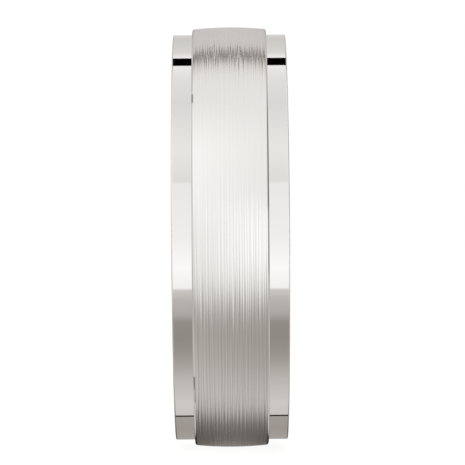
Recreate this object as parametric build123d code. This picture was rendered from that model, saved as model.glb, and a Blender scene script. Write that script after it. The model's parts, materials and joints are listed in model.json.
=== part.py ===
from build123d import *
import os

# Wedding band, built up from four turned hoops that share one axis. Millimetres.
# Frame: X runs along the finger through the bore, Z is up, and the origin is the centre of the bore.

# What is seen from outside
ring_width = 6.00  # side face to side face
rail_radius = 10.94  # flat, polished rim on each side
crown_radius = 11.35  # highest line of the domed centre band
band_width = 3.94  # centre band, wall to wall
band_dome_rise = 0.106  # how far the crown stands above the band's own edges
band_edge_round = 0.12
rail_edge_round = 0.05

# What meets the finger: a straight land with a comfort-fit curve on each side of it
bore_radius = 9.475
land_length = 3.00
comfort_rise = 0.43  # how far the bore opens from the land to the side face
bore_edge_round = 0.07

# The seats between the hoops
band_seat_radius = 10.26  # raised register around the sleeve, which carries the centre band
rail_seat_radius = 10.10  # one step lower, so that a rail butts against the register
lead_in = 0.05  # chamfer on the edge of each bore that is pressed on

half_width = ring_width / 2
half_band = band_width / 2
half_land = land_length / 2


def at(section, *points):
    """The corners of a half section at the given points: (along the finger, out from the axis)."""
    return [v for v in section.vertices() for x, r in points if abs(v.X - x) + abs(v.Y - r) < 1e-4]


def turned(section):
    """Turns a half section about the finger axis into a hoop."""
    return revolve(Plane.XZ * section, Axis.X, 360)


def comfort_sleeve():
    """The inner hoop, which the finger touches. The other three are pressed on over it."""
    mouth_radius = bore_radius + comfort_rise
    land = Line((-half_land, bore_radius), (half_land, bore_radius))
    curves = [
        TangentArc((side * half_land, bore_radius), (side * half_width, mouth_radius), tangent=(side, 0))
        for side in (-1, 1)
    ]
    seats = Polyline(
        (-half_width, mouth_radius),
        (-half_width, rail_seat_radius),
        (-half_band, rail_seat_radius),
        (-half_band, band_seat_radius),
        (half_band, band_seat_radius),
        (half_band, rail_seat_radius),
        (half_width, rail_seat_radius),
        (half_width, mouth_radius),
    )
    section = make_face([land, *curves, seats])
    mouths = at(section, (-half_width, mouth_radius), (half_width, mouth_radius))
    return turned(fillet(mouths, bore_edge_round))


def centre_band():
    """The raised, satin hoop with a slightly domed top. It fills the register on the sleeve."""
    wall_top = crown_radius - band_dome_rise
    dome = ThreePointArc((-half_band, wall_top), (0, crown_radius), (half_band, wall_top))
    walls = Polyline(
        (-half_band, wall_top),
        (-half_band, band_seat_radius),
        (half_band, band_seat_radius),
        (half_band, wall_top),
    )
    section = make_face([dome, walls])
    seat_corners = at(section, (-half_band, band_seat_radius), (half_band, band_seat_radius))
    section = chamfer(seat_corners, lead_in)
    top_corners = at(section, (-half_band, wall_top), (half_band, wall_top))
    return turned(fillet(top_corners, band_edge_round))


def rail(side):
    """A polished rim on one side of the ring (-1 or 1), butted against the centre band."""
    inner, outer = side * half_band, side * half_width
    outline = Polyline(
        (inner, rail_seat_radius),
        (outer, rail_seat_radius),
        (outer, rail_radius),
        (inner, rail_radius),
        close=True,
    )
    section = make_face(outline)
    section = chamfer(at(section, (inner, rail_seat_radius)), lead_in)
    return turned(fillet(at(section, (outer, rail_radius)), rail_edge_round))


hoops = {
    "comfort_sleeve": comfort_sleeve(),
    "centre_band": centre_band(),
    "left_rail": rail(-1),
    "right_rail": rail(1),
}

os.makedirs("parts", exist_ok=True)
for name, hoop in hoops.items():
    export_step(hoop, f"parts/{name}.step")
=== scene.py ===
import bpy
import bmesh
import json
import math
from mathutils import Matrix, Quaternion, Vector


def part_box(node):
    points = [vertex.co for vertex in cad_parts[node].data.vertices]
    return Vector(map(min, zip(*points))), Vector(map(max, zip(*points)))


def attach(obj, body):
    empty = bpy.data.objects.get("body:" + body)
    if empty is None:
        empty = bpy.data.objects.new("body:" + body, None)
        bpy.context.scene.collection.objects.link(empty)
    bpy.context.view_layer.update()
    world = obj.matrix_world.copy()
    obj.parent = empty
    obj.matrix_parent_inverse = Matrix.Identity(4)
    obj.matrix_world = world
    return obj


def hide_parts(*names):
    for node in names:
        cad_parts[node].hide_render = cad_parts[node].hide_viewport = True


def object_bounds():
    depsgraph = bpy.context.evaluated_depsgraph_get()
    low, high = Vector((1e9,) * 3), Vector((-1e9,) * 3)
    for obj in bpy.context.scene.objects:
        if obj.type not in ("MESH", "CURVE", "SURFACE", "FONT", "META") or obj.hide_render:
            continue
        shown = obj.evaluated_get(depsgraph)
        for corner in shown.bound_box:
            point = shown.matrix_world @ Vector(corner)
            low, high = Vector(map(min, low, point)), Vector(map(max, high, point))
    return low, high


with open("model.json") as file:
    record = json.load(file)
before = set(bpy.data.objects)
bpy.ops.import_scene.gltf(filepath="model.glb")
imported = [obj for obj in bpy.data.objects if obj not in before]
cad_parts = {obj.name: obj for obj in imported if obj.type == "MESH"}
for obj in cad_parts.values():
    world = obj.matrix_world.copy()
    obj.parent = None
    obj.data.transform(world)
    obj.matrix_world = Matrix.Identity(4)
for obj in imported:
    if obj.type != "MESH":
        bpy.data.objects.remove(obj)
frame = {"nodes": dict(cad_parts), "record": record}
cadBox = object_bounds()
print("frame loaded:", len(frame["nodes"]), "hoops")

mm = 0.001
samePoint = 1e-7  # points nearer than this are one point


def linear(hexColour):  # an sRGB hex colour as the linear one that shaders take
    channels = [int(hexColour[i:i + 2], 16) / 255 for i in (0, 2, 4)]
    return [c / 12.92 if c <= 0.04045 else ((c + 0.055) / 1.055) ** 2.4 for c in channels] + [1.0]


def setInputs(tree, node, inputs):  # each by its name, or its number where a node uses one name twice
    for name, value in inputs.items():
        if isinstance(value, bpy.types.NodeSocket):
            tree.links.new(value, node.inputs[name])
        else:
            node.inputs[name].default_value = value


def addNode(tree, kind, inputs=None, **settings):  # inputs hold plain values, or the sockets to link from
    made = tree.nodes.new(kind)
    for name, value in settings.items():
        setattr(made, name, value)
    setInputs(tree, made, inputs or {})
    return made


def startMaterial(name):
    material = bpy.data.materials.new(name)
    material.use_nodes = True
    tree = material.node_tree
    return material, tree, tree.nodes["Principled BSDF"]


# Every hoop is turned from a half section, drawn in the XZ plane: x runs along the finger, z is how far out.
turning = {
    "steps": 240,  # facets around a hoop
    "hold": 0.02 * mm,  # an extra line this far from a rounded edge, so that the flat beside it shades flat
    "weld": 0.0005 * mm,
    "crispAngle": math.radians(25),  # edges that turn more than this stay crisp
}


def drawSection(corners):
    bm = bmesh.new()
    points = [bm.verts.new((x, 0, r)) for x, r in corners]
    edges = [bm.edges.new(pair) for pair in zip(points, points[1:] + points[:1])]
    return bm, edges


def roundCorners(bm, corners, radius, segments):
    near = [v for v in bm.verts for x, r in corners if math.hypot(v.co.x - x, v.co.z - r) < samePoint]
    bmesh.ops.bevel(
        bm, geom=near, offset=radius, offset_type="OFFSET", segments=segments,
        profile=0.5, affect="VERTICES", material=-1,
    )


def turnHoop(bm, name, materials, pickMaterial):
    bmesh.ops.spin(
        bm, geom=bm.verts[:] + bm.edges[:], cent=(0, 0, 0), axis=(1, 0, 0),
        angle=math.tau, steps=turning["steps"], use_merge=True,
    )
    bmesh.ops.remove_doubles(bm, verts=bm.verts[:], dist=turning["weld"])
    bmesh.ops.recalc_face_normals(bm, faces=bm.faces[:])
    for face in bm.faces:
        face.smooth = True
        face.material_index = pickMaterial(face)
    for edge in bm.edges:
        edge.smooth = edge.calc_face_angle(0) < turning["crispAngle"]
    mesh = bpy.data.meshes.new(name)
    bm.to_mesh(mesh)
    bm.free()
    hoop = bpy.data.objects.new(name, mesh)
    bpy.context.scene.collection.objects.link(hoop)
    for material in materials:
        mesh.materials.append(material)
    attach(hoop, "root")
    print("turned", name, "with", len(mesh.polygons), "faces")
    return hoop


# White gold, mirror polished on a felt wheel: a clean, slightly warm mirror with the faintest haze.
polish = {
    "colour": "F0EFEE",
    "roughness": (0.015, 0.035),
    "hazeLength": 2.5 * mm,
    "hazeDetail": 2.0,
    "hazeSpan": (0.3, 0.7),  # the part of the noise that takes the roughness from least to most
}


def mirrorPolishedWhiteGold():
    material, tree, shader = startMaterial("mirror polished white gold")
    place = addNode(tree, "ShaderNodeTexCoord")
    haze = addNode(tree, "ShaderNodeTexNoise", {
        "Vector": place.outputs["Object"], "Scale": 1 / polish["hazeLength"], "Detail": polish["hazeDetail"],
    })
    clear, hazy = polish["hazeSpan"]
    low, high = polish["roughness"]
    roughness = addNode(tree, "ShaderNodeMapRange", {
        "Value": haze.outputs["Fac"], "From Min": clear, "From Max": hazy, "To Min": low, "To Max": high,
    })
    setInputs(tree, shader, {
        "Base Color": linear(polish["colour"]), "Metallic": 1.0, "Roughness": roughness.outputs["Result"],
    })
    return material


# The same gold, brushed around the ring with a fine wheel: each line leans a little up or down its own way,
# so a reflection breaks into fine pickets, and it spreads widely across the lines and little along them.
satin = {
    "colours": ("E8E7E6", "FFFFFE"),
    "roughness": 0.30,
    "spread": 0.7,  # how much wider it scatters across the lines than along them
    "spreadTurn": 0.25,  # a quarter turn, because the tangent follows the lines
    "lineSpacing": 0.13 * mm,  # a real wheel leaves them about 0.03 mm apart, too fine to show
    "lineLength": 8.0 * mm,
    "toneLength": 11.2 * mm,  # the lines also differ in tone, over this length
    "toneShift": 70,  # how many spacings off the tones are taken, so that they don't follow the lean
    "lean": math.radians(10.0),
    # the wheel was held lightly over the top, bit deepest below the middle and eased off again underneath, so
    # the lines lean most below the middle; there their tone also differs far more, which is painted
    # reflection streaks
    "topToMiddle": (4.0 * mm, -2.5 * mm),
    "middleToFoot": (-6.0 * mm, -9.0 * mm),
    "leanTop": 0.70,
    "leanMiddle": 1.30,
    "leanFoot": 0.75,
    "contrastTop": 0.5,
    # below the middle the lines' own tone is strengthened by painted reflection streaks
    "toneAndPaintedStreaksMiddle": 3.5,
}


def satinBrushedWhiteGold():
    material, tree, shader = startMaterial("satin brushed white gold")
    place = addNode(tree, "ShaderNodeTexCoord")

    def lines(length, shift):  # fine lines around the ring, as a value about 0.5
        stretched = addNode(
            tree, "ShaderNodeMapping",
            {
                "Vector": place.outputs["Object"], "Location": (shift, 0, 0),
                "Scale": (1 / satin["lineSpacing"], 1 / length, 1 / length),
            },
        )
        return addNode(
            tree, "ShaderNodeTexGabor",
            {
                "Vector": stretched.outputs["Vector"], "Scale": 1.0, "Frequency": 1.0, "Anisotropy": 1.0,
                5: (1, 0, 0),  # the orientation in 3D
            },
            gabor_type="3D",
        ).outputs["Value"]

    height = addNode(tree, "ShaderNodeSeparateXYZ", {"Vector": place.outputs["Object"]}).outputs["Z"]

    def ease(heights, first, last):  # a value that changes smoothly between two heights
        start, end = heights
        return addNode(
            tree, "ShaderNodeMapRange",
            {"Value": height, "From Min": start, "From Max": end, "To Min": first, "To Max": last},
            interpolation_type="SMOOTHSTEP",
        ).outputs["Result"]

    def times(a, b):
        return addNode(tree, "ShaderNodeMath", {0: a, 1: b}, operation="MULTIPLY").outputs[0]

    def fromMiddle(value):
        return addNode(tree, "ShaderNodeMath", {0: value, 1: 0.5}, operation="SUBTRACT").outputs[0]

    # how far each line leans, and which way
    depth = times(
        ease(satin["topToMiddle"], satin["leanTop"], satin["leanMiddle"]),
        ease(satin["middleToFoot"], 1, satin["leanFoot"]),
    )
    lean = times(times(fromMiddle(lines(satin["lineLength"], 0)), 2 * satin["lean"]), depth)

    # how bright each line is: its own tone, with painted reflection streaks far stronger below the middle
    contrast = times(
        fromMiddle(lines(satin["toneLength"], satin["toneShift"])),
        ease(satin["topToMiddle"], satin["contrastTop"], satin["toneAndPaintedStreaksMiddle"]),
    )
    share = addNode(tree, "ShaderNodeMath", {0: contrast, 1: 0.5}, operation="ADD", use_clamp=True)
    dull, bright = satin["colours"]
    colour = addNode(
        tree, "ShaderNodeMix", {0: share.outputs[0], 6: linear(dull), 7: linear(bright)}, data_type="RGBA"
    )

    # the surface's normal, tipped that far along the direction of the lines
    around = addNode(
        tree, "ShaderNodeVectorMath", {0: (1, 0, 0), 1: place.outputs["Object"]}, operation="CROSS_PRODUCT"
    )
    unit = addNode(tree, "ShaderNodeVectorMath", {0: around.outputs[0]}, operation="NORMALIZE")
    tilt = addNode(tree, "ShaderNodeVectorMath", {0: unit.outputs[0], "Scale": lean}, operation="SCALE")
    facing = addNode(tree, "ShaderNodeNewGeometry")
    leaning = addNode(
        tree, "ShaderNodeVectorMath", {0: facing.outputs["Normal"], 1: tilt.outputs[0]}, operation="ADD"
    )
    normal = addNode(tree, "ShaderNodeVectorMath", {0: leaning.outputs[0]}, operation="NORMALIZE")
    tangent = addNode(tree, "ShaderNodeTangent", direction_type="RADIAL", axis="X")
    setInputs(tree, shader, {
        "Base Color": colour.outputs[2],
        "Metallic": 1.0,
        "Roughness": satin["roughness"],
        "Anisotropic": satin["spread"],
        "Anisotropic Rotation": satin["spreadTurn"],
        "Tangent": tangent.outputs["Tangent"],
        "Normal": normal.outputs[0],
    })
    return material


# The same gold where a fine stone has taken the sharpness off an edge: duller than the mirror beside it.
stoned = {"colour": "F4F3F2", "roughness": 0.35}


def stonedWhiteGold():
    material, tree, shader = startMaterial("stoned white gold")
    setInputs(tree, shader, {
        "Base Color": linear(stoned["colour"]), "Metallic": 1.0, "Roughness": stoned["roughness"],
    })
    return material


polished = mirrorPolishedWhiteGold()
brushed = satinBrushedWhiteGold()
softened = stonedWhiteGold()
print("metals mixed")


def outerRadius(node):
    low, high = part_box(node)
    return (high.y - low.y) / 2


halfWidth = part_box("comfort_sleeve")[1].x
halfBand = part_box("centre_band")[1].x

# The sleeve that the finger touches.
sleeve = {
    "boreRadius": frame["record"]["mounts"][0]["dims"]["r_mm"] * mm,
    "halfLand": frame["record"]["mounts"][0]["dims"]["length_mm"] * mm / 2,
    "comfortRise": 0.43 * mm,
    "mouthRound": 0.07 * mm,
    "railSeat": 10.10 * mm,
    "bandSeat": outerRadius("comfort_sleeve"),
    "curveCuts": 14,
    "roundCuts": 6,
}


def makeSleeve():
    s = sleeve
    mouth = s["boreRadius"] + s["comfortRise"]
    keep = mouth + s["mouthRound"] + turning["hold"]
    corners = [(-halfWidth, s["railSeat"]), (-halfBand, s["railSeat"]), (-halfBand, s["bandSeat"]),
               (halfBand, s["bandSeat"]), (halfBand, s["railSeat"]), (halfWidth, s["railSeat"]),
               (halfWidth, keep), (halfWidth, mouth), (s["halfLand"], s["boreRadius"]),
               (-s["halfLand"], s["boreRadius"]), (-halfWidth, mouth), (-halfWidth, keep)]
    bm, edges = drawSection(corners)
    run = halfWidth - s["halfLand"]
    curveRadius = (run ** 2 + s["comfortRise"] ** 2) / (2 * s["comfortRise"])
    bmesh.ops.subdivide_edges(bm, edges=[edges[7], edges[9]], cuts=s["curveCuts"])  # from mouth to land
    for v in bm.verts:
        past = abs(v.co.x) - s["halfLand"]
        if past > 0 and v.co.z < mouth - samePoint:  # the comfort curve is an arc, tangent to the land
            v.co.z = s["boreRadius"] + curveRadius - math.sqrt(curveRadius ** 2 - past ** 2)
    roundCorners(bm, [(-halfWidth, mouth), (halfWidth, mouth)], s["mouthRound"], s["roundCuts"])
    return turnHoop(bm, "comfortSleeve", [polished], lambda face: 0)


sleeveHoop = makeSleeve()
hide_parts("comfort_sleeve")

# The raised satin band in the middle, with polished edges.
band = {
    "crownRadius": outerRadius("centre_band"),
    "domeRise": 0.106 * mm,
    "edgeRound": 0.12 * mm,
    "domeCuts": 23,
    "roundCuts": 12,
    "polishedShare": 0.97,  # how much of each rounded edge the brush leaves alone
    "bareWall": 0.3 * mm,  # nothing is brushed nearer the seat than this
}


def makeBand():
    b = band
    wallTop = b["crownRadius"] - b["domeRise"]
    keep = wallTop - b["edgeRound"] - turning["hold"]
    corners = [(-halfBand, sleeve["bandSeat"]), (halfBand, sleeve["bandSeat"]), (halfBand, keep),
               (halfBand, wallTop), (-halfBand, wallTop), (-halfBand, keep)]
    bm, edges = drawSection(corners)
    bmesh.ops.subdivide_edges(bm, edges=[edges[3]], cuts=b["domeCuts"])
    domeRadius = (halfBand ** 2 + b["domeRise"] ** 2) / (2 * b["domeRise"])
    for v in bm.verts:
        if v.co.z > wallTop - samePoint:
            v.co.z = b["crownRadius"] - domeRadius + math.sqrt(domeRadius ** 2 - v.co.x ** 2)
    roundCorners(bm, corners[3:5], b["edgeRound"], b["roundCuts"])
    satinHalf = halfBand - b["edgeRound"] * b["polishedShare"]
    satinFoot = sleeve["bandSeat"] + b["bareWall"]

    def pickMaterial(face):
        centre = face.calc_center_median()
        return 1 if abs(centre.x) < satinHalf and centre.yz.length > satinFoot else 0

    return turnHoop(bm, "centreBand", [polished, brushed], pickMaterial)


bandHoop = makeBand()
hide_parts("centre_band")

# The two low rails, polished, with a stoned outer edge.
rails = {"radius": outerRadius("left_rail"), "edgeRound": 0.05 * mm, "roundCuts": 8}


def makeRail(name, side):
    inner, outer = side * halfBand, side * halfWidth
    top, keep = rails["radius"], rails["edgeRound"] + turning["hold"]
    corners = [(inner, sleeve["railSeat"]), (outer, sleeve["railSeat"]), (outer, top - keep), (outer, top),
               (outer - side * keep, top), (inner, top)]
    bm = drawSection(corners)[0]
    roundCorners(bm, [(outer, top)], rails["edgeRound"], rails["roundCuts"])

    def pickMaterial(face):
        centre = face.calc_center_median()
        atSide = abs(centre.x) > halfWidth - rails["edgeRound"]
        return 1 if atSide and centre.yz.length > top - rails["edgeRound"] else 0

    return turnHoop(bm, name, [polished, softened], pickMaterial)


for name, node, side in (("leftRail", "left_rail", -1), ("rightRail", "right_rail", 1)):
    railHoop = makeRail(name, side)
    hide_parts(node)

# A small white studio, drawn by the height that its light comes from: 0 is level with the ring on the
# camera's side, 90 is overhead, 180 is level behind the ring and -90 is straight below. The colours are what
# polished gold shows of it.
studio = {
    # the narrow lane straight in front of and behind the rim, which the polished rails mirror
    "lane": [
        (-180, "9C9691"), (-156, "9E9893"), (-138, "9A948F"), (-122.2, "A09A95"), (-120.6, "C5C2BF"),
        (-107, "CAC7C5"), (-98, "C3C0BD"), (-87, "B9B5B1"), (-75, "A49F9A"), (-68, "98938E"),
        (-58, "8E8984"), (-48, "928D88"), (-43, "ACA8A4"), (-35, "B6B2AE"), (-29.1, "CAC7C4"),
        (-28.5, "F0EFEE"), (-17, "FAF9F9"), (0, "EEEDEC"), (29.8, "E8E7E6"), (30.6, "DCDBD9"),
        (50, "E6E5E3"), (80, "D8D7D6"), (99, "DEDDDC"), (112, "E9E8E7"), (121, "EFEEED"),
        (124, "E4E2E1"), (128, "D4D2D0"), (137, "CECCC9"), (151, "C5C3C1"), (180, "D2D0CF"),
    ],
    # the walls on each side of the lane, which the satin band gathers with it
    "leftWall": [
        (-180, "2E2A27"), (-136, "3A3531"), (-117, "625C57"), (-105, "B6B2AE"), (-91, "C4C0BC"),
        (-62, "AEA9A4"), (-50, "A6A19C"), (-43, "A8A39E"), (-29, "D9D8D6"), (4, "E3E2E0"),
        (20, "F4F3F2"), (50, "FAF9F8"), (75, "E6E5E3"), (92, "E3E2E0"), (106, "DCD9D6"),
        (110, "B6ADA8"), (123, "BCB3AE"), (129, "C2C0BE"), (150, "B8B5B3"), (168, "B4B1AF"),
        (173, "3E3935"), (180, "2E2A27"),
    ],
    "rightWall": [
        (-180, "34302D"), (-136, "423D39"), (-119, "6C6661"), (-105, "B0ACA9"), (-94, "ACA8A4"),
        (-70, "98928D"), (-50, "96908B"), (-42, "9A9590"), (-25, "E9E8E6"), (-12, "FFFFFF"),
        (14, "FFFFFF"), (18, "E4E3E2"), (50, "E4E3E1"), (75, "E2E1E0"), (92, "E1E0DE"),
        (106, "DCD9D6"), (110, "B6ADA8"), (123, "BCB3AE"), (129, "C2C0BE"), (150, "B8B5B3"),
        (168, "B4B1AF"), (173, "443F3B"), (180, "34302D"),
    ],
    "laneReach": (0.0225, 0.029),  # how far to each side the lane fades into the walls
    "wallReach": 0.3,  # how far across one wall fades into the other
    # two dark strips between lights, a black one above and a thin one below: their height, half their width,
    # how far to each side they start and end to fade, and their colour
    "strips": [(116.9, 4.2, 0.22, 0.32, "000000"), (-120.9, 0.9, 0.06, 0.10, "302C28")],
    # what stands out to the sides, and shows in the rounded edges
    "leftReach": (0.75, 0.88),
    "rightReach": (0.62, 0.75),
    "flankReach": 0.1,  # how far across one flank fades into the other
    "leftFlank": "BAB7B4",
    "rightFlank": "7C7874",
    "lowFlank": "BDBAB7",
    "flankFoot": (-0.27, -0.17),  # how far up the low flank fades into the other two
    "lowBack": (0.05, 0.25),  # how far back the low flank starts to reach in
    "lowReach": (0.22, 0.36),  # and how far out to the side
    # two small dark blades far out on the left, which show in the band's edge: their angle up or down, seen
    # against the middle of the back wall, half their width, and the height of that middle
    "blades": [(39.3, 1.55, 0.047), (-44.6, 5.1, -0.048)],
    "bladeReach": (0.36, 0.42),
    "bladeGap": (-0.61, 0.06),  # each is in two parts, with a gap between them: its middle and half its width
    "bladeSight": 2.5,  # they show in the metal itself, at a ray depth of 2, but not in a reflection of it
    "bladeColour": "0A0908",
    "spot": (0.985, 0.992),  # a round light straight out on each side
    "spotColour": "ECEBEA",
    "metal": "F0EFEE",
    "backdrop": "FFFFFF",
}


def lightStudio():
    world = bpy.data.worlds.new("white studio")
    bpy.context.scene.world = world
    world.use_nodes = True
    tree = world.node_tree
    place = addNode(tree, "ShaderNodeTexCoord")
    heading = addNode(tree, "ShaderNodeSeparateXYZ", {"Vector": place.outputs["Generated"]})
    across, back, up = heading.outputs["X"], heading.outputs["Y"], heading.outputs["Z"]

    def work(operation, a, b, c=0.0):
        return addNode(tree, "ShaderNodeMath", {0: a, 1: b, 2: c}, operation=operation).outputs[0]

    def product(a, b, c):
        return work("MULTIPLY", work("MULTIPLY", a, b), c)

    def fade(value, start, end):
        return addNode(
            tree, "ShaderNodeMapRange", {"Value": value, "From Min": start, "From Max": end},
            interpolation_type="SMOOTHSTEP",
        ).outputs["Result"]

    def mix(factor, a, b):
        return addNode(tree, "ShaderNodeMix", {0: factor, 6: a, 7: b}, data_type="RGBA").outputs[2]

    height = work("ARCTAN2", up, work("MULTIPLY", back, -1.0))
    share = addNode(
        tree, "ShaderNodeMapRange",
        {"Value": height, "From Min": -math.pi, "From Max": math.pi, "To Min": 0.0, "To Max": 1.0},
    ).outputs["Result"]

    def bands(stops):
        ramp = addNode(tree, "ShaderNodeValToRGB", {"Fac": share})
        elements = ramp.color_ramp.elements
        while len(elements) < len(stops):
            elements.new(1.0)
        for element, (degrees, colour) in zip(elements, stops):
            element.position = (degrees + 180) / 360
            element.color = linear(colour)
        return ramp.outputs["Color"]

    # the lane between the two walls, with the strips across it
    sideways = work("ABSOLUTE", across, 0.0)
    reach = studio["wallReach"]
    walls = mix(fade(across, -reach, reach), bands(studio["leftWall"]), bands(studio["rightWall"]))
    striped = mix(fade(sideways, *studio["laneReach"]), bands(studio["lane"]), walls)
    for middle, half, near, far, colour in studio["strips"]:
        strip = work("COMPARE", height, math.radians(middle), math.radians(half))
        short = work("MULTIPLY", strip, work("SUBTRACT", 1.0, fade(sideways, near, far)))
        striped = mix(short, striped, linear(colour))

    # the flanks, with a light in each
    reach = studio["flankReach"]
    highFlank = mix(fade(across, -reach, reach), linear(studio["leftFlank"]), linear(studio["rightFlank"]))
    aboveFoot = fade(up, *studio["flankFoot"])
    flank = mix(aboveFoot, linear(studio["lowFlank"]), highFlank)
    lamps = mix(fade(sideways, *studio["spot"]), flank, linear(studio["spotColour"]))
    backed = product(
        fade(back, *studio["lowBack"]), work("SUBTRACT", 1.0, aboveFoot), fade(sideways, *studio["lowReach"])
    )
    low = mix(backed, striped, linear(studio["lowFlank"]))
    leftward = work("MULTIPLY", across, -1.0)
    flanked = work("ADD", fade(leftward, *studio["leftReach"]), fade(across, *studio["rightReach"]))
    whole = mix(flanked, low, lamps)

    # the blades
    seen = addNode(tree, "ShaderNodeLightPath")
    parted = work("SUBTRACT", 1.0, work("COMPARE", across, *studio["bladeGap"]))
    once = work("LESS_THAN", seen.outputs["Ray Depth"], studio["bladeSight"])
    leftSide = product(fade(leftward, *studio["bladeReach"]), parted, once)
    for angle, half, middle in studio["blades"]:
        fan = work("ARCTAN2", work("SUBTRACT", up, middle), work("SUBTRACT", 1.0, back))
        blade = work("COMPARE", fan, math.radians(angle), math.radians(half))
        whole = mix(work("MULTIPLY", blade, leftSide), whole, linear(studio["bladeColour"]))

    # the metal sees the studio, and the camera sees a plain white backdrop
    lit = addNode(tree, "ShaderNodeBackground", {"Color": whole, "Strength": 1 / linear(studio["metal"])[1]})
    plain = addNode(tree, "ShaderNodeBackground", {"Color": linear(studio["backdrop"]), "Strength": 1.0})
    both = addNode(
        tree, "ShaderNodeMixShader",
        {0: seen.outputs["Is Camera Ray"], 1: lit.outputs["Background"], 2: plain.outputs["Background"]},
    )
    setInputs(tree, tree.nodes["World Output"], {"Surface": both.outputs["Shader"]})


lightStudio()

# A white acrylic table top under the ring: an even white with no shine, which takes only a faint shadow.
table = {"colour": "8C8C8C", "size": 3.0, "roughness": 0.6, "glow": 0.85}


def layTable():
    bm = bmesh.new()
    bmesh.ops.create_grid(bm, x_segments=1, y_segments=1, size=table["size"] / 2)
    bmesh.ops.translate(bm, verts=bm.verts[:], vec=(0, 0, cadBox[0].z))
    mesh = bpy.data.meshes.new("tableTop")
    bm.to_mesh(mesh)
    bm.free()
    top = bpy.data.objects.new("tableTop", mesh)
    bpy.context.scene.collection.objects.link(top)
    material, tree, shader = startMaterial("white acrylic")
    setInputs(tree, shader, {
        "Base Color": linear(table["colour"]),
        "Roughness": table["roughness"],
        "Emission Color": (1, 1, 1, 1),
        "Emission Strength": table["glow"],
    })
    mesh.materials.append(material)
    top.visible_glossy = False


layTable()

# The camera looks straight at the rim from the front, aimed a little off the middle of the bore.
view = {
    "distance": 155.3 * mm,
    "lens": 221.65,
    "sensor": 36,
    "roll": 0.41,
    "aim": (0.108 * mm, 0.244 * mm),
    "clip": (1 * mm, 10),
}


def setCamera():
    camera = bpy.data.cameras.new("camera")
    camera.lens = view["lens"]
    camera.sensor_width = view["sensor"]
    camera.clip_start, camera.clip_end = view["clip"]
    stand = bpy.data.objects.new("camera", camera)
    bpy.context.scene.collection.objects.link(stand)
    stand.location = (0, -view["distance"], 0)
    look = Vector((view["aim"][0], view["distance"], view["aim"][1]))
    level = look.to_track_quat("-Z", "Y")
    stand.rotation_mode = "QUATERNION"
    stand.rotation_quaternion = level @ Quaternion((0, 0, 1), math.radians(-view["roll"]))
    bpy.context.scene.camera = stand
    bpy.context.scene.view_settings.view_transform = "Standard"


setCamera()
print("studio and camera set")
